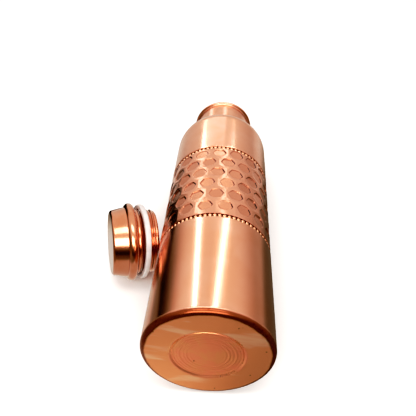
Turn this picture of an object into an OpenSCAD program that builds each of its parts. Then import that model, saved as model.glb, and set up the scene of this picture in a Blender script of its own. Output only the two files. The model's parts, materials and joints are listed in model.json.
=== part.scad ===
// Hammered copper water bottle with its screw cap beside it.
// Frame: millimetres, +Z up. The bottle lies on its side along +Y, its base facing -Y.
// Origin: the centre of the face it stands on, which is also on the bottle's axis.
// The cap lies on the same surface, on its bead and its gasket, with the spigot towards the bottle.

/* [Bottle] */
// Outer radius of the body
body_r = 36; // [30:0.5:45]
// Thickness of the copper sheet
sheet = 0.8; // [0.6:0.1:1.2]
// Height from the base to the middle of the lower bead line
lower_bead_y = 72.5; // [50:0.5:85]
// Height from the base to the middle of the upper bead line
upper_bead_y = 148.5; // [130:0.5:165]
// Height from the base to the start of the shoulder
shoulder_y = 192.5; // [175:0.5:200]
// Height of the rounded shoulder
shoulder_h = 17.6; // [12:0.2:22]
// Radius of the rounded heel
heel_r = 3; // [1.2:0.1:6]
// Radius of the recess in the base
recess_r = 20; // [14:0.5:26]
// Depth of the recess in the base
recess_depth = 0.8; // [0.3:0.1:1.5]

/* [Neck] */
// Outer radius of the neck
neck_r = 23.2; // [22.8:0.1:23.6]
// Thickness of the neck's sheet
neck_sheet = 0.6; // [0.4:0.1:1]
// Height from the base to the end of the mouth
mouth_y = 243.5; // [238:0.5:255]
// Outer radius of the rolled lip
lip_r = 25.2; // [25:0.1:28]
// Thickness of the rolled lip
lip_h = 2.4; // [1.6:0.1:2.8]
// Length of the threaded sleeve in the neck
sleeve_l = 14; // [8:0.5:20]

/* [Beads and dimples] */
// How far a bead line stands over its bed
bead_rise = 0.7; // [0.3:0.1:1]
// Width of a bead line
bead_w = 2.8; // [2.6:0.1:4]
// Rows of dimples in the hammered band
dimple_rows = 6; // [3:1:8]
// Dimples in one row
dimple_cols = 18; // [12:1:22]
// Smooth strip between the lower bead line and the first row of dimples
dimple_margin = 2.6; // [0:0.2:6]
// Depth of a dimple
dimple_depth = 0.45; // [0.2:0.05:0.6]
// How tightly a dimple fits its place, 1 for marks that just meet
dimple_fill = 1.05; // [1:0.05:1.6]

/* [Cap] */
// Outer radius of the cap's wall next to its bead
cap_r = 24.1; // [24:0.1:25]
// Outer radius of the cap's wall at its top
cap_top_r = 22.4; // [22:0.1:24]
// Radius of the rounded edge at the cap's top
cap_edge = 2; // [1:0.1:4]
// Radius of the cap's bead
cap_bead_r = 26.8; // [26:0.1:29]
// Distance from the cap's top to the middle of its bead
cap_bead_z = 13.1; // [11:0.1:15]
// Half the width of the cap's bead
cap_bead_half = 3.2; // [2.5:0.1:3.6]
// Outer radius of the spigot and of its thread
spigot_r = 21.9; // [21:0.1:22]
// Distance from the cap's top to the end of the spigot
spigot_end_z = 30.5; // [28:0.5:36]
// Pitch of the thread
pitch = 2.4; // [2:0.1:3]
// Outer radius of the gasket
gasket_r = 25.7; // [24.5:0.1:25.7]
// Inner radius of the gasket
gasket_bore_r = 22.4; // [22.4:0.1:23]
// Thickness of the gasket along its axis
gasket_h = 3.6; // [2:0.2:3.6]
// How far the loose gasket leans on the spigot, in degrees
gasket_lean = 5; // [0:0.5:5]
// Which side of the gasket leans towards the spigot's end, in degrees round the cap
gasket_lean_turn = 137; // [110:1:160]

/* [Cap's resting place] */
// Distance of the cap's top to the left of the bottle's axis
cap_left = 72.4; // [72:0.2:100]
// Distance of the cap's top along the bottle
cap_along = 90; // [60:1:160]
// Angle of the cap's axis from square to the bottle
cap_turned = 18; // [0:1:30]
// Downward slope of the cap's axis towards the spigot
cap_slope = 8.6; // [8.6:0.1:9]

/* [Hidden] */
$fn = 96;

copper = [0.80, 0.46, 0.32];
raw_copper = [0.78, 0.50, 0.40];
silicone = [0.92, 0.91, 0.90];

inner_r = body_r - sheet;
base_flat_r = body_r - heel_r;
shoulder_end_y = shoulder_y + shoulder_h;
// How far one sheet reaches under or into the next where they are joined
lap = 0.4;
thread_depth = 0.9;
thread_sides = 48;
spigot_bore_r = spigot_r - 1.8;
thread_start_z = 23.4;
// How far the middle of the bead's section lies inside the wall's surface
bead_foot = 0.6;
spigot_gap = 0.01;
// Gap between the spigot and the neck that it screws into
thread_play = 0.3;
mouth_r = spigot_r + 0.4;
// The cap's height follows from its bead, which rests on the surface that the bottle lies on
cap_z = -body_r + cap_bead_r * cos(cap_slope) + cap_bead_z * sin(cap_slope) + 0.04;
gasket_z = 20.6;
sleeve_y = mouth_y - lip_h - sleeve_l;

// Points of an elliptical arc, from one angle to another
function arc(centre, half_w, half_h, from, to, steps = 12) = [
    for (i = [0:steps])
        let (a = from + (to - from) * i / steps)
        centre + [half_w * cos(a), half_h * sin(a)]
];

// Turns a shape that was made along +Z so that it lies along the bottle
module along_bottle() {
    rotate([-90, 0, 0]) children();
}

// Puts a shape that was made along the cap's own axis where the cap lies
module on_cap() {
    translate([-cap_left, cap_along, cap_z]) rotate([0, 90 + cap_slope, cap_turned]) children();
}

// A closed ring whose surface follows a relief. Each row of the section is [radius, height, weight],
// and relief(angle, height) times the weight is added to the radius.
module relief_ring(rows, sides, relief) {
    m = len(rows);
    points = [
        for (row = rows, i = [0:sides - 1])
            let (a = 360 * i / sides, r = row[0] + row[2] * relief(a, row[1]))
            [r * cos(a), r * sin(a), row[1]]
    ];
    faces = [
        for (j = [0:m - 1], i = [0:sides - 1])
            let (k = (i + 1) % sides, up = (j + 1) % m)
            [j * sides + i, up * sides + i, up * sides + k, j * sides + k]
    ];
    polyhedron(points = points, faces = faces);
}

// Height of a rolled right-hand thread, from 0 at its root to 1 at its crest
thread_relief = function (a, z)
    (1 - cos(360 * (z / pitch - a / 360))) / 2;

// Rows of a threaded stretch, with a thread that fades in and out
function thread_rows(r, weight, from, to) =
    let (n = round(abs(to - from) / pitch * 6))
    [for (i = [0:n]) [r, from + (to - from) * i / n, weight * min(1, min(i, n - i) / 3)]];

// Pressed base: a flat ring to stand on round a shallow stepped recess, with the heel turned up
module base_disc() {
    step = 1.2;
    heel = [base_flat_r, heel_r];
    color(raw_copper) along_bottle() rotate_extrude() polygon(concat(
        [[0, recess_depth], [recess_r - step, recess_depth], [recess_r, 0]],
        arc(heel, heel_r, heel_r, -90, 0),
        arc(heel, heel_r - sheet, heel_r - sheet, 0, -90),
        [[recess_r + step / 2, sheet], [recess_r - step / 2, sheet + recess_depth]],
        [[0, sheet + recess_depth]]
    ));
}

// Lower part of the body, a plain tube brazed to the base's heel
module lower_shell() {
    top = lower_bead_y - bead_w / 2;
    color(copper) along_bottle() rotate_extrude() polygon([
        [inner_r, heel_r], [body_r, heel_r], [body_r, top], [inner_r, top]
    ]);
}

// Half-round ring that covers a seam of the body; the separate beads on it are left to the looks
module bead_line(y) {
    bed_r = body_r - bead_rise;
    half = bead_w / 2;
    bed_edge = 0.15;
    color(copper) along_bottle() translate([0, 0, y]) rotate_extrude() polygon(concat(
        [[inner_r - lap, -half], [bed_r, -half]],
        arc([bed_r, 0], bead_rise, half - bed_edge, -90, 90),
        [[bed_r, half], [inner_r - lap, half]]
    ));
}

module lower_bead_line() {
    bead_line(lower_bead_y);
}

module upper_bead_line() {
    bead_line(upper_bead_y);
}

// Band between the bead lines, with staggered rows of shallow round hammer marks
module hammered_band() {
    from = lower_bead_y + bead_w / 2;
    to = upper_bead_y - bead_w / 2;
    start = from + dimple_margin;
    row_h = (to - start) / dimple_rows;
    relief = function (a, z)
        let (
            row = min(floor((z - start) / row_h + 0.001), dimple_rows - 1),
            turn = a * dimple_cols / 360 + (row % 2) / 2,
            across = 2 * (turn - round(turn)) * dimple_fill,
            along = 2 * ((z - start) / row_h - row - 0.5) * dimple_fill
        )
        -max(0, 1 - across * across - along * along);
    n = 4 * dimple_rows;
    outer = [for (i = [0:n]) [body_r, start + (to - start) * i / n, dimple_depth]];
    foot = dimple_margin > 0 ? [[body_r, from, 0]] : [];
    inner = [[inner_r, to, 0], [inner_r, from, 0]];
    color(copper) along_bottle()
        relief_ring(concat(foot, outer, inner), 6 * dimple_cols, relief);
}

// Upper part of the body, closed in to the neck by the rounded shoulder
module upper_shell() {
    from = upper_bead_y + bead_w / 2;
    corner = [neck_r, shoulder_y];
    outer = arc(corner, body_r - neck_r, shoulder_h, 0, 90);
    inner = arc(corner, inner_r - neck_r, shoulder_h - sheet, 90, 0);
    color(copper) along_bottle() rotate_extrude() polygon(concat(
        [[inner_r, from], [body_r, from]], outer, inner
    ));
}

// Neck tube with a rolled lip, set into the shoulder
module neck_collar() {
    bore_r = neck_r - neck_sheet;
    socket = 2.4;
    flare = lip_r - lip_h / 2 - neck_r;
    lip_mid = [lip_r - lip_h / 2, mouth_y - lip_h / 2];
    lip_y = mouth_y - lip_h;
    color(copper) along_bottle() rotate_extrude() polygon(concat(
        [[bore_r, shoulder_end_y - socket], [neck_r, shoulder_end_y - socket]],
        arc([neck_r + flare, lip_y - flare], flare, flare, 180, 90, 6),
        arc(lip_mid, lip_h / 2, lip_h / 2, -80, 90),
        [[mouth_r, mouth_y], [mouth_r, lip_y], [bore_r, lip_y]]
    ));
}

// Sleeve with a rolled thread, brazed into the neck
module neck_thread() {
    sleeve_r = neck_r - neck_sheet;
    root_r = spigot_r + thread_play;
    rows = concat(
        thread_rows(root_r, -thread_depth, sleeve_l - lap, lap),
        [[root_r, 0, 0], [sleeve_r, 0, 0], [sleeve_r, sleeve_l, 0], [root_r, sleeve_l, 0]]
    );
    color(copper) along_bottle() translate([0, 0, sleeve_y])
        relief_ring(rows, thread_sides, thread_relief);
}

// Spun cover of the cap: flat top, rounded edge, slightly flared wall and a bead
module cap_cover() {
    edge = [cap_top_r - cap_edge, cap_edge];
    bead = [cap_r - bead_foot, cap_bead_z];
    bead_h = cap_bead_r - bead[0];
    mouth_z = cap_bead_z + cap_bead_half;
    outer_end = -acos(bead_foot / bead_h);
    inner_end = -acos((bead_foot - sheet) / (bead_h - sheet));
    color(copper) on_cap() rotate_extrude() polygon(concat(
        [[0, 0]],
        arc(edge, cap_edge, cap_edge, -90, 0),
        arc(bead, bead_h, cap_bead_half, outer_end, 90),
        [[spigot_r, mouth_z], [spigot_r, mouth_z - sheet]],
        arc(bead, bead_h - sheet, cap_bead_half - sheet, 90, inner_end),
        arc(edge, cap_edge - sheet, cap_edge - sheet, 0, -90),
        [[0, sheet]]
    ));
}

// Threaded tube of the cap, with a flange that the cover's turned-in lip holds
module cap_spigot() {
    root_r = spigot_r - thread_depth;
    plain_r = spigot_r - spigot_gap;
    flange_r = cap_r - bead_foot;
    lip_z = cap_bead_z + cap_bead_half - sheet;
    end_round = 0.6;
    rows = concat(
        [[spigot_bore_r, lip_z - sheet, 0], [flange_r, lip_z - sheet, 0]],
        [[flange_r, lip_z - spigot_gap, 0], [plain_r, lip_z - spigot_gap, 0]],
        [[plain_r, thread_start_z - sheet, 0]],
        thread_rows(root_r, thread_depth, thread_start_z, spigot_end_z - end_round),
        [[root_r - lap, spigot_end_z, 0], [spigot_bore_r, spigot_end_z, 0]]
    );
    color(copper) on_cap() relief_ring(rows, thread_sides, thread_relief);
}

// Dished disc that closes the end of the spigot
module cap_end_disc() {
    dish = 2.2;
    slope = 2;
    disc_r = spigot_bore_r * cos(180 / thread_sides) - spigot_gap;
    below_end = 1.4;
    color(copper) on_cap() translate([0, 0, spigot_end_z - below_end]) rotate_extrude() polygon([
        [0, -dish], [disc_r - 2 * slope, -dish], [disc_r - slope, 0], [disc_r, 0],
        [disc_r, sheet], [disc_r - slope - lap, sheet],
        [disc_r - 2 * slope - lap, sheet - dish], [0, sheet - dish]
    ]);
}

// Loose silicone ring that seals the cap against the lip
module gasket() {
    soft = 0.8;
    half = gasket_h / 2;
    color(silicone) on_cap() translate([0, 0, gasket_z]) rotate([gasket_lean, 0, gasket_lean_turn])
        rotate_extrude() polygon(concat(
            arc([gasket_r - soft, soft - half], soft, soft, -90, 0, 6),
            arc([gasket_r - soft, half - soft], soft, soft, 0, 90, 6),
            arc([gasket_bore_r + soft, half - soft], soft, soft, 90, 180, 6),
            arc([gasket_bore_r + soft, soft - half], soft, soft, 180, 270, 6)
        ));
}

base_disc();
lower_shell();
lower_bead_line();
hammered_band();
upper_bead_line();
upper_shell();
neck_collar();
neck_thread();
cap_cover();
cap_spigot();
cap_end_disc();
gasket();
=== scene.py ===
import json
import math

import bpy
import numpy as np
from mathutils import Matrix, Vector


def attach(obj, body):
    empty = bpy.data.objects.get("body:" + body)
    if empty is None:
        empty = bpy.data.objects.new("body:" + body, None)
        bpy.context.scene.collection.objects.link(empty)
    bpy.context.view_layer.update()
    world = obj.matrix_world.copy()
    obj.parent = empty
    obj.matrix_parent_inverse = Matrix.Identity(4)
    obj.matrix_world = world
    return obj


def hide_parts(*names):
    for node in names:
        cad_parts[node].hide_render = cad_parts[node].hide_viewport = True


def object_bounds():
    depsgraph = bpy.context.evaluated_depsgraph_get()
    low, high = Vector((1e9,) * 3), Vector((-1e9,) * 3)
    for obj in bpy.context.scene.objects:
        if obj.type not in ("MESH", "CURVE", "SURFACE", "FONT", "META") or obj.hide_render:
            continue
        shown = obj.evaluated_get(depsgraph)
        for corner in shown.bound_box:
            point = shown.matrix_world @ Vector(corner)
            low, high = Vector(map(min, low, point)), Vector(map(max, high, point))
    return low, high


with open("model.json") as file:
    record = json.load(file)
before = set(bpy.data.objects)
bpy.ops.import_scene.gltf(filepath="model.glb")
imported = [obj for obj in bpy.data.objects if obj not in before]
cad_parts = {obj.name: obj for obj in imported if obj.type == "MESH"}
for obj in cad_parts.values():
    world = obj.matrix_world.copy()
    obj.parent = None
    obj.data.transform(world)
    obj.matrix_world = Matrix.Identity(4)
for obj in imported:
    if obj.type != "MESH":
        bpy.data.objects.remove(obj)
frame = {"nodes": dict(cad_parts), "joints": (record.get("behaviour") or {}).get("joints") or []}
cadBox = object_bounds()
print("frame: copper bottle and cap,", len(frame["nodes"]), "nodes")

mm = 0.001
fullTurn = 2 * math.pi


class Wire:  # an output socket that can stand in a sum
    def __init__(self, tree, socket=None):
        self.tree = tree
        self.socket = socket

    def node(self, kind, settings=None, sockets=None, out=0):
        made = self.tree.nodes.new(kind)
        for key, value in (settings or {}).items():
            if key == "stops":
                self.setStops(made.color_ramp.elements, value)
            else:
                setattr(made, key, value)
        for key, value in (sockets or {}).items():
            if isinstance(value, Wire):
                self.tree.links.new(value.socket, made.inputs[key])
            else:
                made.inputs[key].default_value = value
        return Wire(self.tree, made.outputs[out] if len(made.outputs) else None)

    def setStops(self, elements, stops):
        elements.remove(elements[1])
        elements[0].position, elements[0].color = stops[0]
        for position, colour in stops[1:]:
            elements.new(position).color = colour

    def maths(self, operation, *values):
        return self.node("ShaderNodeMath", {"operation": operation}, dict(enumerate(values)))

    def __add__(self, other):
        return self.maths("ADD", self, other)

    def __radd__(self, other):
        return self.maths("ADD", other, self)

    def __sub__(self, other):
        return self.maths("SUBTRACT", self, other)

    def __rsub__(self, other):
        return self.maths("SUBTRACT", other, self)

    def __mul__(self, other):
        return self.maths("MULTIPLY", self, other)

    def __rmul__(self, other):
        return self.maths("MULTIPLY", other, self)

    def ramp(self, low, high):  # 0 at low, 1 at high, smooth between
        sockets = {"Value": self, "From Min": low, "From Max": high}
        return self.node("ShaderNodeMapRange", {"interpolation_type": "SMOOTHSTEP"}, sockets)

    def mixColour(self, first, second):  # the wire is the share of the second colour
        return self.node("ShaderNodeMix", {"data_type": "RGBA"}, {0: self, 6: first, 7: second}, 2)

    def stretched(self, x, y, z):
        return self.node("ShaderNodeVectorMath", {"operation": "MULTIPLY"}, {0: self, 1: (x, y, z)})

    def scaled(self, level):
        return self.node("ShaderNodeVectorMath", {"operation": "SCALE"}, {0: self, 3: level})

    def flatLength(self):  # distance from the Z axis
        flat = self.stretched(1, 1, 0)
        return self.node("ShaderNodeVectorMath", {"operation": "LENGTH"}, {0: flat}, 1)

    def stepped(self, *stops):  # brightness read off a row of (position, level) stops
        colours = [(position, (level, level, level, 1.0)) for position, level in stops]
        return self.node("ShaderNodeValToRGB", {"stops": colours}, {0: self})

    def blend(self, first, second):  # the wire is the share of the second number
        return self.node("ShaderNodeMix", {"data_type": "FLOAT"}, {0: self, 2: first, 3: second})

    def axes(self):
        split = self.node("ShaderNodeSeparateXYZ", {}, {0: self}).socket.node
        return [Wire(self.tree, output) for output in split.outputs]

    def noise(self, scale, detail=2.0, roughness=0.5, warp=0.0):
        sockets = {"Vector": self, "Scale": scale, "Detail": detail, "Roughness": roughness,
                   "Distortion": warp}
        return self.node("ShaderNodeTexNoise", {}, sockets)


def newMaterial(name):
    material = bpy.data.materials.new(name)
    material.use_nodes = True
    material.node_tree.nodes.clear()
    start = Wire(material.node_tree)
    return material, start, start.node("ShaderNodeTexCoord", {}, {}, 3)


def finishMaterial(material, start, sockets, height, strength, distance=0.1 * mm):
    bump = {"Height": height, "Strength": strength, "Distance": distance}
    sockets["Normal"] = start.node("ShaderNodeBump", {}, bump)
    shader = start.node("ShaderNodeBsdfPrincipled", {}, sockets)
    start.node("ShaderNodeOutputMaterial", {}, {"Surface": shader})
    return material


def colour(red, green, blue):
    return (red, green, blue, 1.0)


satinLook = {
    "tone": colour(0.75, 0.385, 0.265),
    "warmTone": colour(0.73, 0.355, 0.225),
    "roughness": 0.19,
    "streaks": 0.05,          # how much the roughness follows the brushing
    "anisotropic": 0.55,
    "coat": 0.40,
    "brushing": 0.035,        # strength of the brushed lines
}


def satinCopper():
    look = satinLook
    material, start, place = newMaterial("satinCopper")
    lines = place.stretched(14, 14, 4200).noise(1.0, 3.0, 0.6)     # round the lathe axis
    broad = place.stretched(6, 6, 240).noise(1.0, 2.0)
    cloud = place.noise(38.0, 3.0, 0.55, 0.6)
    sockets = {
        "Base Color": cloud.ramp(0.35, 0.65).mixColour(look["tone"], look["warmTone"]),
        "Metallic": 1.0,
        "Roughness": look["roughness"] + look["streaks"] * (lines - 0.5) + 0.08 * (broad - 0.5),
        "Anisotropic": look["anisotropic"],
        "Anisotropic Rotation": 0.25,
        "Coat Weight": look["coat"],
        "Coat Roughness": 0.32,
        "Coat IOR": 1.6,
    }
    return finishMaterial(material, start, sockets, lines + 0.6 * broad, look["brushing"])


hammeredLook = {
    "floorTone": colour(0.66, 0.305, 0.195),
    "ridgeTone": colour(0.73, 0.36, 0.245),
    "rimShadeTone": colour(0.30, 0.07, 0.025),
    "endShadeTone": colour(0.06, 0.012, 0.006),
    "floorRoughness": 0.20,
    "ridgeRoughness": 0.19,
    "coat": 0.30,
}


def hammeredCopper(bodyRadius, depth):
    look = hammeredLook
    material, start, place = newMaterial("hammeredCopper")
    sunk = (bodyRadius - place.flatLength()) * (1 / depth)         # 0 on a ridge, 1 inside a mark
    rim = start.node("ShaderNodeAttribute", {"attribute_name": "rim"}, {}, 2)
    nook = start.node("ShaderNodeAttribute", {"attribute_name": "nook"}, {}, 2)
    grain = place.noise(900.0, 3.0, 0.6)
    cloud = place.noise(55.0, 3.0, 0.5, 0.4)
    flat = sunk.ramp(0.12, 0.42)
    # the marks' floors are painted darker than the ridges, as painted shade in the hollows
    tone = flat.mixColour(look["ridgeTone"], look["floorTone"])
    # painted shade along each mark's sloping rim, its strength varied by the cloud noise
    paintedRimShade = rim.ramp(0.1, 0.7) * (0.35 + 0.5 * cloud.ramp(0.35, 0.65))
    # painted shade: a dark patch at each mark's right end, standing in for the dark the rim mirrors
    # there
    paintedEndShade = nook.ramp(0.2, 0.8) * (0.6 + 0.4 * cloud.ramp(0.4, 0.6))
    tone = paintedRimShade.mixColour(tone, look["rimShadeTone"])
    tone = paintedEndShade.mixColour(tone, look["endShadeTone"])
    sockets = {
        "Base Color": tone,
        "Metallic": 1.0,
        "Roughness": flat.blend(look["ridgeRoughness"], look["floorRoughness"])
        + 0.10 * (cloud - 0.5) + 0.06 * (grain - 0.5),
        "Coat Weight": look["coat"],
        "Coat Roughness": 0.35,
        "Coat IOR": 1.6,
    }
    return finishMaterial(material, start, sockets, grain + 2.0 * cloud, 0.10)


beadLook = {
    "tone": colour(0.80, 0.42, 0.26),
    "gapShadeTone": colour(0.10, 0.030, 0.015),
    "roughness": 0.22,
}


def beadCopper(bodyRadius, rise):
    look = beadLook
    material, start, place = newMaterial("beadCopper")
    sunk = (bodyRadius - place.flatLength()) * (1 / rise)          # 0 on a bead's top, 1 between beads
    grain = place.noise(1200.0, 2.0)
    sockets = {
        # painted shade: the copper darkens where it sinks between the beads
        "Base Color": sunk.ramp(0.35, 0.85).mixColour(look["tone"], look["gapShadeTone"]),
        "Metallic": 1.0,
        "Roughness": look["roughness"] + 0.35 * sunk.ramp(0.3, 0.9) + 0.06 * grain,
        "Coat Weight": 0.3,
        "Coat Roughness": 0.15,
    }
    return finishMaterial(material, start, sockets, grain, 0.06)


baseLook = {
    "tone": colour(0.90, 0.46, 0.25),
    "paleTone": colour(0.98, 0.68, 0.49),
    "rosyTone": colour(0.92, 0.415, 0.255),
    "speckAndHeelShadeTone": colour(0.20, 0.04, 0.012),
    "roughness": 0.50,
}


def rawCopper(recessRadius, flatRadius):
    look = baseLook
    material, start, place = newMaterial("rawCopper")
    radius = place.flatLength()
    outside = radius.ramp(recessRadius - 0.2 * mm, recessRadius + 0.8 * mm)
    smears = place.stretched(16, 52, 16).noise(1.0, 4.0, 0.55, 1.2)
    scratch = place.stretched(26, 620, 26).noise(1.0, 3.0, 0.7)
    cloud = place.noise(70.0, 4.0, 0.6, 0.5)
    turning = radius.node("ShaderNodeTexWave", {"wave_type": "RINGS", "rings_direction": "Z"},
                          {"Vector": place, "Scale": 210.0, "Distortion": 0.4})
    rubbed = scratch.ramp(0.62, 0.80) * smears.ramp(0.45, 0.7)
    pale = outside * smears.ramp(0.50, 0.66) * 0.8 + rubbed * 0.5
    tone = ((1 - outside) * cloud.ramp(0.35, 0.6)).mixColour(look["tone"], look["rosyTone"])
    tone = pale.mixColour(tone, look["paleTone"])
    specks = place.node("ShaderNodeTexVoronoi", {"feature": "F1"},
                        {"Vector": place, "Scale": 190.0, "Randomness": 1.0}, 0)
    dots = (1 - specks.ramp(0.06, 0.13)) * place.noise(95.0).ramp(0.56, 0.62)
    ragged = radius + 1.2 * mm * (place.noise(150.0, 3.0) - 0.5)
    # painted shade: the mask named seam darkens the whole rounded heel, standing in for the dark the
    # heel mirrors; the dots are real dark specks
    seam = ragged.ramp(flatRadius - 0.2 * mm, flatRadius + 0.9 * mm)
    bright = (place.axes()[2] + 0.5 * (ragged - radius)).ramp(2.2 * mm, 3.0 * mm)
    tone = (dots * 0.8 + seam * 0.9).mixColour(tone, look["speckAndHeelShadeTone"])
    tone = bright.mixColour(tone, satinLook["tone"])
    step = radius.ramp(recessRadius - 1.9 * mm, recessRadius - 1.3 * mm)
    step = step * (1 - radius.ramp(recessRadius - 0.1 * mm, recessRadius + 0.5 * mm))
    sockets = {
        "Base Color": tone,
        "Metallic": 0.85,
        "Roughness": look["roughness"] + 0.14 * (cloud - 0.5) - 0.22 * step - 0.26 * seam,
    }
    relief = turning * 0.3 + scratch * 0.5 + cloud
    return finishMaterial(material, start, sockets, relief, 0.16)


polishedLook = {
    "tone": colour(0.67, 0.32, 0.20),
    "warmTone": colour(0.64, 0.28, 0.155),
    "roughness": 0.17,
    "coat": 0.75,
}
neckLook = {
    "tone": colour(0.75, 0.39, 0.27),
    "warmTone": colour(0.72, 0.34, 0.21),
    "roughness": 0.24,
    "coat": 0.35,
}


def polishedCopper(name, look):
    material, start, place = newMaterial(name)
    lines = place.stretched(20, 20, 3000).noise(1.0, 2.0)
    swell = place.stretched(60, 60, 90).noise(1.0, 1.0)
    cloud = place.noise(120.0, 3.0, 0.5, 0.3)
    sockets = {
        "Base Color": cloud.ramp(0.35, 0.7).mixColour(look["tone"], look["warmTone"]),
        "Metallic": 1.0,
        "Roughness": look["roughness"] + 0.05 * (lines - 0.5) + 0.05 * (cloud - 0.5),
        "Anisotropic": 0.2,
        "Anisotropic Rotation": 0.25,
        "Coat Weight": look["coat"],
        "Coat Roughness": 0.14,
    }
    return finishMaterial(material, start, sockets, 0.1 * lines + swell, 0.18)


siliconeLook = {
    "tone": colour(0.68, 0.645, 0.63),
    "thinTone": colour(0.60, 0.56, 0.545),
    "roughness": 0.42,
}


def milkySilicone():
    look = siliconeLook
    material, start, place = newMaterial("milkySilicone")
    cloud = place.noise(160.0, 2.0, 0.5)
    dust = place.noise(2200.0, 2.0, 0.7)
    sockets = {
        "Base Color": cloud.ramp(0.35, 0.65).mixColour(look["tone"], look["thinTone"]),
        "Roughness": look["roughness"] + 0.12 * (dust - 0.5),
        "Subsurface Weight": 0.35,
        "Subsurface Radius": (1.0, 0.8, 0.7),
        "Subsurface Scale": 2.0 * mm,
        "Specular IOR Level": 0.5,
    }
    return finishMaterial(material, start, sockets, dust + cloud, 0.08)


# The lathe axis of a piece is its own Z, and its own -Y is the side that faces up
bottlePlace = Matrix.Rotation(math.radians(-90), 4, "X")


def findCapPlace():
    joint = next(j for j in frame["joints"] if j["name"] == "cap_turn")
    along = Vector(joint["axis"]).normalized()
    up = (Vector((0, 0, 1)) - along * along.z).normalized()
    near = along.cross(up)
    return Matrix.Translation(joint["pos_m"]) @ Matrix((near, -up, along)).transposed().to_4x4()


def nodeSize(node, place):  # largest radius, lowest and highest point along the lathe axis
    corners = np.array([place.inverted() @ v.co for v in frame["nodes"][node].data.vertices])
    return np.hypot(corners[:, 0], corners[:, 1]).max(), corners[:, 2].min(), corners[:, 2].max()


def arc(middle, size, first, last, steps=10):  # size is (across, along), angles in degrees
    angles = [math.radians(first + (last - first) * i / steps) for i in range(steps + 1)]
    return [(middle[0] + size[0] * math.cos(a), middle[1] + size[1] * math.sin(a)) for a in angles]


def span(first, last, steps, weight=1.0):  # rows of a straight stretch that follows a relief
    (r0, z0), (r1, z1) = first, last
    return [(r0 + (r1 - r0) * i / steps, z0 + (z1 - z0) * i / steps, weight) for i in range(steps + 1)]


def turnedMesh(name, outline, sides, relief=None, bend=None):
    angles = np.arange(sides) * fullTurn / sides
    points, rings = [], []
    for row in outline:
        radius, along, weight = (*row, 0.0)[:3]
        first = len(points)
        if radius < 1e-7:
            points.append((0.0, 0.0, along))
            rings.append([first] * sides)
            continue
        radii = np.full(sides, radius)
        if relief is not None and weight:
            radii = radii + weight * relief(angles, along)
        columns = np.stack([radii * np.sin(angles), -radii * np.cos(angles), np.full(sides, along)], 1)
        points.extend(columns.tolist())
        rings.append(list(range(first, first + sides)))
    points = np.array(points)
    if bend is not None:
        points = bend(points)
    faces = []
    for here, there in zip(rings, rings[1:] + rings[:1]):
        if here[0] == here[1] and there[0] == there[1]:
            continue
        for i in range(sides):
            k = (i + 1) % sides
            corners = [here[i], here[k], there[k], there[i]]
            faces.append(list(dict.fromkeys(corners)))
    mesh = bpy.data.meshes.new(name)
    mesh.from_pydata(points.tolist(), [], faces)
    mesh.validate()
    mesh.update()
    return mesh


litPieces = {"shell": [], "band": []}      # pieces that the narrow lights shine on


def addObject(name, data):
    made = bpy.data.objects.new(name, data)
    bpy.context.scene.collection.objects.link(made)
    return made


def addPiece(name, mesh, place, body, node, material, sharp=35, lit=None):
    piece = addObject(name, mesh)
    mesh.materials.append(material)
    mesh.shade_smooth()
    mesh.set_sharp_from_angle(angle=math.radians(sharp))
    piece.matrix_world = place
    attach(piece, body)
    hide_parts(node)
    if lit:
        litPieces[lit].append(piece)
    print("piece:", name, len(mesh.vertices), "points")


def smoothStep(value, low, high):
    share = np.clip((value - low) / (high - low), 0, 1)
    return share * share * (3 - 2 * share)


capPlace = findCapPlace()
bodyRadius = nodeSize("lower_shell", bottlePlace)[0]

def pressedSlope(steps=8):  # shares across a pressed step, each with how far it has come down
    return [(share, share * share * (3 - 2 * share)) for share in (i / steps for i in range(steps + 1))]


base = {
    "recess": 20.6 * mm,
    "recessDepth": 0.8 * mm,
    "step": 1.5 * mm,
    "heel": 3.0 * mm,
    "sheet": 0.8 * mm,
    "corner": 0.6 * mm,
    # radius and height of each turned ring, in mm
    "rings": [(18.6, 0.30), (17.0, 0.14), (15.2, 0.28), (13.2, 0.18), (11.4, 0.24), (9.6, 0.10)],
    "ringWidth": 0.75 * mm,
}


def baseDisc(material):
    recess, depth, step = base["recess"], base["recessDepth"], base["step"]
    heel, back, corner = base["heel"], base["sheet"], base["corner"]
    outline = [(0, depth)]
    for at in np.arange(0.5 * mm, recess - step, 0.25 * mm):
        lift = sum(tall * math.exp(-((at / mm - where) / (base["ringWidth"] / mm)) ** 2 * 2)
                   for where, tall in base["rings"])
        outline.append((at, depth - lift * mm))
    outline += [(recess - step + step * share, depth * (1 - fall)) for share, fall in pressedSlope()]
    flatRadius = bodyRadius - heel
    outline += [(at, 0.0) for at in np.linspace(recess + corner, flatRadius - corner, 10)]
    outline += arc((flatRadius, heel), (heel, heel), -90, 0, 18)
    outline += arc((flatRadius, heel), (heel - back, heel - back), 0, -90, 8)
    outline += [(recess + corner, back), (recess - corner, back + depth), (0, back + depth)]
    mesh = turnedMesh("baseDisc", outline, 256)
    addPiece("baseDisc", mesh, bottlePlace, "bottle", "base_disc", material, 50,
             "shell")


shell = {
    "sheet": 0.8 * mm,
    "shoulderHeight": 17.6 * mm,
    "edge": 0.35 * mm,       # rounding where a shell meets a bead line
    "margin": 1.0 * mm,      # from a tube's end to its first row of faces
}


def lowerShell(material):
    _, start, top = nodeSize("lower_shell", bottlePlace)
    edge, inside = shell["edge"], bodyRadius - shell["sheet"]
    outline = arc((bodyRadius - edge, start + edge), (edge, edge), -90, 0, 5)
    first, last = start + shell["margin"], top - edge - shell["margin"]
    outline += span((bodyRadius, first), (bodyRadius, last), 24, 0)
    outline += arc((bodyRadius - edge, top - edge), (edge, edge), 0, 90, 5)
    outline += [(inside, top), (inside, start)]
    mesh = turnedMesh("lowerShell", outline, 256)
    addPiece("lowerShell", mesh, bottlePlace, "bottle", "lower_shell", material,
             lit="shell")


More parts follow.
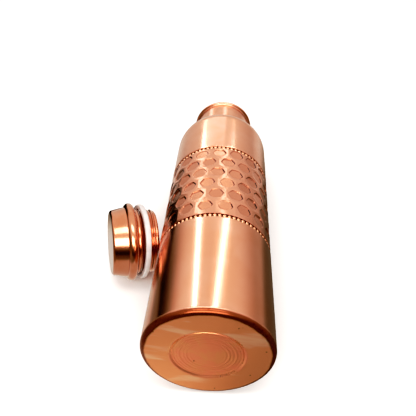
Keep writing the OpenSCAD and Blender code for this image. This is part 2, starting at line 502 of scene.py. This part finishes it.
def upperShell(material):
    _, start, end = nodeSize("upper_shell", bottlePlace)
    neckRadius = nodeSize("neck_thread", bottlePlace)[0] + neck["sheet"]
    sheet, edge, tall = shell["sheet"], shell["edge"], shell["shoulderHeight"]
    middle = (neckRadius, end - tall)
    wide = bodyRadius - neckRadius
    inside = bodyRadius - sheet
    outline = arc((bodyRadius - edge, start + edge), (edge, edge), -90, 0, 5)
    first, last = start + 1.5 * shell["margin"], end - tall - shell["margin"]
    outline += span((bodyRadius, first), (bodyRadius, last), 14, 0)
    outline += arc(middle, (wide, tall), 0, 88, 30)
    outline += [(neckRadius + 0.2 * mm, end), (neckRadius, end)]
    outline += arc(middle, (wide - sheet, tall - sheet), 90, 0, 16) + [(inside, start)]
    mesh = turnedMesh("upperShell", outline, 256)
    addPiece("upperShell", mesh, bottlePlace, "bottle", "upper_shell", material,
             lit="shell")


beads = {
    "count": 75,
    "radius": 1.32 * mm,
    "rise": 0.85 * mm,
    "columns": 16,           # mesh columns for one bead
    "rows": 22,
    "inside": 34.8 * mm,
}


def beadLine(name, node, material):
    _, start, end = nodeSize(node, bottlePlace)
    middle = (start + end) / 2
    bed = bodyRadius - beads["rise"]

    def relief(angles, along):
        turn = angles * beads["count"] / fullTurn
        across = (turn - np.round(turn)) * fullTurn / beads["count"] * bodyRadius
        gap = (across ** 2 + (along - middle) ** 2) / beads["radius"] ** 2
        return beads["rise"] * np.sqrt(np.clip(1 - gap, 0, 1))

    outline = span((bed, start), (bed, end), beads["rows"])
    outline += [(beads["inside"], end), (beads["inside"], start)]
    mesh = turnedMesh(name, outline, beads["count"] * beads["columns"], relief)
    addPiece(name, mesh, bottlePlace, "bottle", node, material, 60, "shell")


hammer = {
    "rows": 6,
    "columns": 18,
    "firstRow": 8.6 * mm,    # from the band's lower edge to the middle of the first row
    "rowPitch": 11.8 * mm,
    "size": 4.65 * mm,       # half a mark's width across its flats
    "depth": 0.52 * mm,
    "rim": 0.62 * mm,        # width of a mark's sloping rim
    "round": 0.30,           # 0 for a sharp hexagon, 1 for a circle
    "tilt": 0.055,           # steepest slope of a mark's flat floor
    "endShadeTurn": 0.25,        # how far up the painted shade at a mark's right end sits
    "shift": 0.40 * mm,      # how far a mark may sit off its place
    "crest": 0.16 * mm,      # height of the lines where ridges meet
    "crestWidth": 1.5 * mm,
    "smoothStart": 1.5 * mm,     # how far the marks take to rise from the lower bead line
    "smoothEnd": 1.2 * mm,       # and to the upper one
    "thickEnd": 2.0 * mm,
    "meshColumns": 1080,
    "meshRows": 300,
    "seed": 11,
}


def hammerMarks(start):  # angle, place along the bottle, size, depth, twist and slopes of each mark
    draw = np.random.default_rng(hammer["seed"])
    marks = []
    for row in range(hammer["rows"]):
        for column in range(hammer["columns"]):
            angle = (column + 0.5 * (row % 2 == 0)) * fullTurn / hammer["columns"]
            angle += draw.uniform(-1, 1) * hammer["shift"] / bodyRadius
            along = start + hammer["firstRow"] + row * hammer["rowPitch"]
            along += draw.uniform(-1, 1) * hammer["shift"]
            marks.append((angle, along, draw.uniform(0.94, 1.05), draw.uniform(0.85, 1.0),
                          draw.uniform(-0.15, 0.15), draw.uniform(-1, 1, 2) * hammer["tilt"]))
    return marks


def hammeredBand(material):
    _, start, end = nodeSize("hammered_band", bottlePlace)
    marks = hammerMarks(start)
    foot = bodyRadius - hammer["crest"]
    rims, endShades = [], []

    def relief(angles, along):
        nearest = np.full(len(angles), 1.0)
        second = np.full(len(angles), 1.0)
        ridge = np.ones(len(angles))
        rim = np.zeros(len(angles))
        nook = np.zeros(len(angles))
        floor = np.zeros(len(angles))
        for angle, height, size, depth, twist, slopes in marks:
            if abs(along - height) > 2 * hammer["rowPitch"]:
                continue
            u = ((angles - angle + math.pi) % fullTurn - math.pi) * bodyRadius
            v = along - height
            away = np.hypot(u, v)
            second = np.minimum(second, np.maximum(away, nearest))
            nearest = np.minimum(nearest, away)
            flat = depth * hammer["depth"] - u * u / (2 * bodyRadius) + u * slopes[0] + v * slopes[1]
            u, v = u * math.cos(twist) + v * math.sin(twist), v * math.cos(twist) - u * math.sin(twist)
            hexagon = np.maximum(np.abs(v), 0.5 * np.abs(v) + 0.866 * np.abs(u))
            reach = (1 - hammer["round"]) * hexagon + hammer["round"] * np.hypot(u, v)
            edge = size * hammer["size"]
            share = 1 - smoothStep(reach, edge - hammer["rim"], edge)
            ridge *= 1 - share
            rim = np.maximum(rim, 4 * share * (1 - share))
            # painted shade mask: the right end of each mark's rim, turned a little upwards
            aside = (u + hammer["endShadeTurn"] * v) / np.maximum(np.hypot(u, v), 0.1 * mm)
            ring = 1 - smoothStep(np.abs(reach - edge + 0.6 * hammer["rim"]), 0, 1.1 * hammer["rim"])
            nook = np.maximum(nook, ring * smoothStep(aside, 0.72, 1.0))
            floor += share * np.maximum(flat, 0)
        gap = (second - nearest) / hammer["crestWidth"]
        crest = hammer["crest"] / np.sqrt(1 + gap * gap)
        rims.append(rim)
        endShades.append(nook)
        ends = smoothStep(along, start, start + hammer["smoothStart"])
        ends *= 1 - smoothStep(along, end - hammer["smoothEnd"], end)
        return ends * (crest * ridge - floor)

    inside = bodyRadius - shell["sheet"] - hammer["depth"]
    outline = span((foot, start), (foot, end), hammer["meshRows"])
    outline += [(bodyRadius - shell["sheet"], end), (inside, end - hammer["thickEnd"]),
                (inside, start + hammer["thickEnd"]), (bodyRadius - shell["sheet"], start)]
    mesh = turnedMesh("hammeredBand", outline, hammer["meshColumns"], relief)
    for name, rows in (("rim", rims), ("nook", endShades)):
        values = np.zeros(len(mesh.vertices))
        rows = np.concatenate(rows)
        values[:len(rows)] = rows
        mesh.attributes.new(name, "FLOAT", "POINT").data.foreach_set("value", values)
    addPiece("hammeredBand", mesh, bottlePlace, "bottle", "hammered_band",
             material, 60, "band")


neck = {
    "sheet": 0.6 * mm,
    "lip": 2.4 * mm,
    "flare": 1.4 * mm,
    "mouth": 22.3 * mm,
    "mouthRounding": 0.5 * mm,
    "seam": 0.35 * mm,       # half-round of braze at the shoulder
}


def neckCollar(material):
    lipRadius, start, end = nodeSize("neck_collar", bottlePlace)
    bore = nodeSize("neck_thread", bottlePlace)[0]
    outer = bore + neck["sheet"]
    lip, flare, mouth = neck["lip"], neck["flare"], neck["mouth"]
    shoulder = nodeSize("upper_shell", bottlePlace)[2]
    seam, soft = neck["seam"], neck["mouthRounding"]
    outline = [(bore, start), (outer, start)]
    outline += arc((outer + 0.1 * mm, shoulder + seam), (seam, seam), -90, 90, 8)
    outline += span((outer, shoulder + 3 * seam), (outer, end - lip - flare - 1 * mm), 12, 0)
    outline += arc((outer + flare, end - lip - flare), (-flare, flare), 0, 90, 8)
    outline += arc((lipRadius - lip / 2, end - lip / 2), (lip / 2, lip / 2), -90, 90, 16)
    outline += arc((mouth + soft, end - soft), (-soft, soft), 90, 0, 5)
    outline += [(mouth, end - lip), (bore, end - lip)]
    mesh = turnedMesh("neckCollar", outline, 256)
    addPiece("neckCollar", mesh, bottlePlace, "bottle", "neck_collar", material,
             lit="band")


thread = {
    "pitch": 2.4 * mm,
    "depth": 0.9 * mm,
    "rowsPerTurn": 14,
    "fade": 1.2 * mm,
    "clearance": 0.3 * mm,
}


def threadRelief(first, last, depth):
    def relief(angles, along):
        wave = np.cos(fullTurn * (along / thread["pitch"] + angles / fullTurn))
        rolled = (0.5 - 0.5 * wave) ** 0.8
        ends = smoothStep(along, first, first + thread["fade"])
        ends *= 1 - smoothStep(along, last - thread["fade"], last)
        return depth * rolled * ends
    return relief


def neckThread(material):
    outer, start, end = nodeSize("neck_thread", bottlePlace)
    root = spigot["radius"] + thread["clearance"]
    steps = round((end - start) / thread["pitch"] * thread["rowsPerTurn"])
    outline = [(outer, start), (outer, end)] + span((root, end), (root, start), steps)
    relief = threadRelief(start, end, -thread["depth"])
    mesh = turnedMesh("neckThread", outline, 128, relief)
    addPiece("neckThread", mesh, bottlePlace, "bottle", "neck_thread", material, 60)


cover = {
    "top": 22.4 * mm,
    "wall": 24.1 * mm,
    "edge": 2.0 * mm,
    "beadHalf": 3.2 * mm,
    "beadFoot": 0.6 * mm,
    "wallStart": (0.8 * mm, 0.2 * mm),   # past the rounded edge, along the cap and outwards
    "sheet": 0.8 * mm,
}


def capCover(material):
    beadRadius, _, mouth = nodeSize("cap_cover", capPlace)
    top, wall, edge, half = cover["top"], cover["wall"], cover["edge"], cover["beadHalf"]
    foot, sheet = cover["beadFoot"], cover["sheet"]
    middle = (wall - foot, mouth - half)
    rise = beadRadius - middle[0]
    lowest = -math.degrees(math.acos(foot / rise))
    inner = -math.degrees(math.acos((foot - sheet) / (rise - sheet)))
    outline = [(0, 0)] + [(top * share, 0) for share in (0.3, 0.6, 0.8)]
    outline += arc((top - edge, edge), (edge, edge), -90, 0, 14)
    low, out = cover["wallStart"]
    outline += span((top + out, edge + low), (wall, middle[1] - half), 6, 0)
    outline += arc(middle, (rise, half), lowest, 90, 22)
    outline += [(spigot["radius"], mouth), (spigot["radius"], mouth - sheet)]
    outline += arc(middle, (rise - sheet, half - sheet), 90, inner, 10)
    outline += arc((top - edge, edge), (edge - sheet, edge - sheet), 0, -90, 6) + [(0, sheet)]
    mesh = turnedMesh("capCover", outline, 224)
    addPiece("capCover", mesh, capPlace, "cap", "cap_cover", material)


spigot = {
    "radius": 21.9 * mm,
    "wall": 1.8 * mm,
    "ridge": 0.75 * mm,       # height of the plain ridge next to the cover
    "ridgeLength": 2.6 * mm,
    "ridgeGap": 0.1 * mm,
    "ridgeFoot": 0.3 * mm,    # how far the ridge's arc starts below the spigot's radius
    "threadGap": 0.8 * mm,
    "threadStart": 23.0 * mm,
    "endRounding": 1.2 * mm,
}


def capSpigot(material):
    flange, start, end = nodeSize("cap_spigot", capPlace)
    mouth = nodeSize("cap_cover", capPlace)[2]
    radius, depth = spigot["radius"], thread["depth"]
    bore, root, rounding = radius - spigot["wall"], radius - depth, spigot["endRounding"]
    lip = mouth - cover["sheet"]
    ridge, foot = spigot["ridgeLength"], radius - spigot["ridgeFoot"]
    middle = mouth + ridge / 2 + spigot["ridgeGap"]
    steps = round((end - rounding - spigot["threadStart"]) / thread["pitch"] * thread["rowsPerTurn"])
    outline = [(bore, start), (flange, start), (flange, lip), (foot, lip)]
    outline += arc((foot, middle), (spigot["ridge"], ridge / 2), -90, 90, 12)
    outline += [(root, mouth + ridge + spigot["threadGap"])]
    outline += span((root, spigot["threadStart"]), (root, end - rounding), steps)
    outline += arc((root - rounding, end - rounding), (rounding, rounding), 0, 90, 6)
    outline += [(bore, end)]
    relief = threadRelief(spigot["threadStart"], end - rounding + thread["fade"] / 2, depth)
    mesh = turnedMesh("capSpigot", outline, 160, relief)
    addPiece("capSpigot", mesh, capPlace, "cap", "cap_spigot", material, 60)


endDisc = {
    "sheet": 0.8 * mm,
    "rim": 2.2 * mm,
    "slope": 2.4 * mm,
}


def capEndDisc(material):
    radius, low, high = nodeSize("cap_end_disc", capPlace)
    sheet, rim, slope = endDisc["sheet"], endDisc["rim"], endDisc["slope"]
    dish = high - low - sheet
    profile = [(radius, high)]
    profile += [(radius - rim - slope * share, high - dish * fall) for share, fall in pressedSlope()]
    profile += [(radius * 0.4, low + sheet), (0, low + sheet)]
    under = [(r, z - sheet) for r, z in reversed(profile)]
    mesh = turnedMesh("capEndDisc", under + profile, 160)
    addPiece("capEndDisc", mesh, capPlace, "cap", "cap_end_disc", material)


ring = {
    "outer": 25.7 * mm,
    "bore": 22.4 * mm,
    "thickness": 3.5 * mm,
    "middle": 20.6 * mm,
    "lean": 5.0,              # degrees, its upper near side towards the spigot's end
    "leanSide": (0.731, -0.682),
    "softness": 1.0 * mm,
    "boreSoftness": 0.6 * mm,
}


def gasketRing(material):
    outer, bore, half = ring["outer"], ring["bore"], ring["thickness"] / 2
    soft, inner = ring["softness"], ring["boreSoftness"]
    outline = arc((outer - soft, soft - half), (soft, soft), -90, 0, 8)
    outline += arc((outer - soft, half - soft), (soft, soft), 0, 90, 8)
    outline += arc((bore + inner, half - inner), (inner, inner), 90, 180, 5)
    outline += arc((bore + inner, inner - half), (inner, inner), 180, 270, 5)

    def bend(points):
        lean = math.tan(math.radians(ring["lean"]))
        points[:, 2] += ring["middle"] + points[:, :2] @ np.array(ring["leanSide"]) * lean
        return points

    mesh = turnedMesh("gasketRing", outline, 192, bend=bend)
    addPiece("gasketRing", mesh, capPlace, "gasket", "gasket", material, 60)


satin = satinCopper()
polished = polishedCopper("polishedCopper", polishedLook)
softPolished = polishedCopper("neckCopper", neckLook)
beadFinish = beadCopper(bodyRadius, beads["rise"])
print("materials: ready")

baseDisc(rawCopper(base["recess"], bodyRadius - base["heel"]))
lowerShell(satin)
beadLine("lowerBeadLine", "lower_bead_line", beadFinish)
hammeredBand(hammeredCopper(bodyRadius - hammer["crest"], hammer["depth"]))
beadLine("upperBeadLine", "upper_bead_line", beadFinish)
upperShell(satin)
neckCollar(softPolished)
neckThread(polished)
capCover(polished)
capSpigot(polished)
capEndDisc(polished)
gasketRing(milkySilicone())

studio = {
    "floorRadius": 1.6,
    "floorTone": (0.92, 0.92, 0.917, 1.0),
    "mirrorLift": 0.4 * mm,
    "aim": Vector((0.0, 0.08, -0.01)),
    "toneCurve": [(0.03, 0.005), (0.08, 0.042), (0.20, 0.16), (0.30, 0.285), (0.40, 0.425),
                  (0.70, 0.73)],
    "sky": 0.88,
    "backdrop": 1.1,         # what the camera sees above the floor's edge
    "lampColour": (1.0, 0.985, 0.97),
    "warmAir": (1.0, 0.84, 0.62, 1.0),
    "paleAir": (1.0, 0.985, 0.97, 1.0),
    # level at the horizon, by the share of a turn from the camera's side round by the left
    "horizon": [(0.0, 0.07), (0.09, 0.08), (0.14, 0.24), (0.32, 0.22), (0.335, 0.04), (0.365, 0.05),
                (0.385, 0.40), (0.40, 0.70), (0.50, 0.66), (0.57, 0.56), (0.589, 0.54), (0.617, 0.44),
                (0.75, 0.42), (0.889, 0.05), (1.0, 0.04)],
    # the same for what lies below the horizon
    "ground": [(0.0, 0.15), (0.14, 0.28), (0.32, 0.24), (0.335, 0.02), (0.395, 0.02), (0.41, 0.66),
               (0.589, 0.68), (0.617, 0.46), (0.75, 0.42), (0.889, 0.15), (1.0, 0.15)],
    "nearGround": (0.58, 0.16),      # close to the bottle, on its left and on its right
    "sideBlend": (-0.03, 0.03),      # where left turns into right, in metres from the aim
    "leftReach": (0.10, 0.145),      # where near ground turns into far, on either side
    "rightReach": (0.12, 0.32),
    # heights over which the horizon's level turns into the sky's, as parts of a unit direction
    "frontBack": (-0.15, 0.15),
    "frontRise": (0.15, 0.75),
    "backRise": (0.02, 0.60),
    "hueLevels": (0.1, 0.9),         # levels at which the air is fully warm and fully pale
}
# name, direction, long side's direction, distance, length, width, radiance, lit pieces
lightRigs = [
    ("leftStrip", (-0.360, 0.700, 0.590), (0.043, -0.572, 0.819), 1.15, 0.66, 0.08, 7.0, "shell"),
    ("rightStrip", (0.190, 0.655, 0.730), (-0.40, -0.60, 0.69), 1.15, 0.70, 0.07, 7.0, "shell"),
    ("leftBandStrip", (-0.357, 0.733, 0.531), (0.043, -0.572, 0.819), 1.15, 0.95, 0.085, 1.5, "band"),
    ("rightBandStrip", (0.150, 0.754, 0.630), (0.350, -0.630, 0.693), 1.15, 0.95, 0.075, 1.5, "band"),
    ("backPanel", (-0.126, 0.898, 0.423), (1.0, 0.0, 0.0), 1.15, 0.46, 0.20, 0.7, "shell"),
    ("overhead", (0.0, -0.165, 0.986), (1.0, 0.0, 0.0), 1.10, 1.0, 0.34, 3.0, "all"),
    ("front", (-0.05, -0.737, 0.675), (1.0, 0.0, 0.0), 1.20, 1.1, 0.50, 4.0, "all"),
]


def floorMesh(name, lift):
    mesh = bpy.data.meshes.new(name)
    wide, height = studio["floorRadius"], cadBox[0].z + lift
    angles = [fullTurn * i / 96 for i in range(96)]
    mesh.from_pydata([(wide * math.cos(a), wide * math.sin(a), height) for a in angles], [],
                     [list(range(96))])
    floor = addObject(name, mesh)
    return floor


def paleFloor():  # what the camera sees under the bottle
    floor = floorMesh("floor", 0.0)
    material, start, place = newMaterial("paleFloor")
    sockets = {"Base Color": studio["floorTone"], "Roughness": 0.6 + 0.1 * place.noise(3.0),
               "Specular IOR Level": 0.3}
    floor.data.materials.append(finishMaterial(material, start, sockets, place.noise(400.0), 0.02))
    floor.visible_glossy = False


def turnShare(place):  # direction round Z as a share of a turn, 0.5 towards +Y
    x, y, _ = place.axes()
    return 0.5 + x.maths("ARCTAN2", x, y) * (1 / fullTurn)


def airHue(level):  # dim parts of the room are warmer
    return level.ramp(*studio["hueLevels"]).mixColour(studio["warmAir"], studio["paleAir"])


def reflectedFloor():  # what the copper mirrors of the room below the horizon
    floor = floorMesh("reflectedFloor", studio["mirrorLift"])
    material, start, place = newMaterial("reflectedFloor")
    settings = {"operation": "SUBTRACT"}
    place = place.node("ShaderNodeVectorMath", settings, {0: place, 1: tuple(studio["aim"])})
    right = place.axes()[0].ramp(*studio["sideBlend"])
    away = place.flatLength()
    far = right.blend(away.ramp(*studio["leftReach"]), away.ramp(*studio["rightReach"]))
    level = far.blend(right.blend(*studio["nearGround"]), turnShare(place).stepped(*studio["ground"]))
    hue = airHue(level)
    glow = hue.scaled(level)
    sockets = {"Base Color": (0.0, 0.0, 0.0, 1.0), "Roughness": 1.0, "Specular IOR Level": 0.0,
               "Emission Color": glow, "Emission Strength": 1.0}
    floor.data.materials.append(finishMaterial(material, start, sockets, place.noise(400.0), 0.0))
    floor.visible_camera = False
    floor.visible_diffuse = False
    floor.visible_shadow = False
    floor.visible_transmission = False


def softbox(name, direction, side, distance, length, width, radiance, lit):
    outward = Vector(direction).normalized()
    along = Vector(side)
    along = (along - outward * along.dot(outward)).normalized()
    light = bpy.data.lights.new(name, "AREA")
    light.shape = "RECTANGLE"
    light.size, light.size_y = width, length
    light.energy = radiance * math.pi * width * length
    light.color = studio["lampColour"]
    lamp = addObject(name, light)
    turn = Matrix((along.cross(outward), along, outward)).transposed().to_4x4()
    lamp.matrix_world = Matrix.Translation(studio["aim"] + outward * distance) @ turn
    if lit != "all":
        group = bpy.data.collections.new(name)
        for piece in litPieces[lit]:
            group.objects.link(piece)
        lamp.light_linking.receiver_collection = group


def studioAir():  # pale behind the bottle and overhead, dark to the left and on the camera's side
    world = bpy.data.worlds.new("studio")
    bpy.context.scene.world = world
    world.use_nodes = True
    world.node_tree.nodes.clear()
    start = Wire(world.node_tree)
    direction = start.node("ShaderNodeTexCoord", {}, {}, 0)
    _, back, up = direction.axes()
    low = turnShare(direction).stepped(*studio["horizon"])
    frontRise, backRise = up.ramp(*studio["frontRise"]), up.ramp(*studio["backRise"])
    rise = back.ramp(*studio["frontBack"]).blend(frontRise, backRise)
    level = rise.blend(low, studio["sky"])
    hue = airHue(level)
    seen = start.node("ShaderNodeLightPath")
    hue = seen.mixColour(hue, studio["paleAir"])
    level = seen.blend(level, studio["backdrop"])
    shader = start.node("ShaderNodeBackground", {}, {"Color": hue.scaled(level), "Strength": 1.0})
    start.node("ShaderNodeOutputWorld", {}, {"Surface": shader})


cameraLook = {
    "lens": 40.29,
    "sensor": 36.0,
    "location": (0.0083, -0.1398, 0.2123),
    "tilt": 51.08,
    "turn": 3.33,
}


def addCamera():
    data = bpy.data.cameras.new("camera")
    data.lens = cameraLook["lens"]
    data.sensor_width = cameraLook["sensor"]
    data.clip_start, data.clip_end = 0.01, 20.0
    camera = addObject("camera", data)
    camera.location = cameraLook["location"]
    camera.rotation_euler = (math.radians(cameraLook["tilt"]), 0, math.radians(cameraLook["turn"]))
    bpy.context.scene.camera = camera


def toneView():  # deeper shadows and firmer contrast
    view = bpy.context.scene.view_settings
    view.view_transform = "Standard"
    view.look = "Medium High Contrast"
    view.use_curve_mapping = True
    curve = view.curve_mapping.curves[3]
    for level, shown in studio["toneCurve"]:
        curve.points.new(level, shown)
    view.curve_mapping.update()


paleFloor()
reflectedFloor()
for rig in lightRigs:
    softbox(*rig)
studioAir()
addCamera()
toneView()
print("studio: floor,", len(lightRigs), "softboxes, camera")
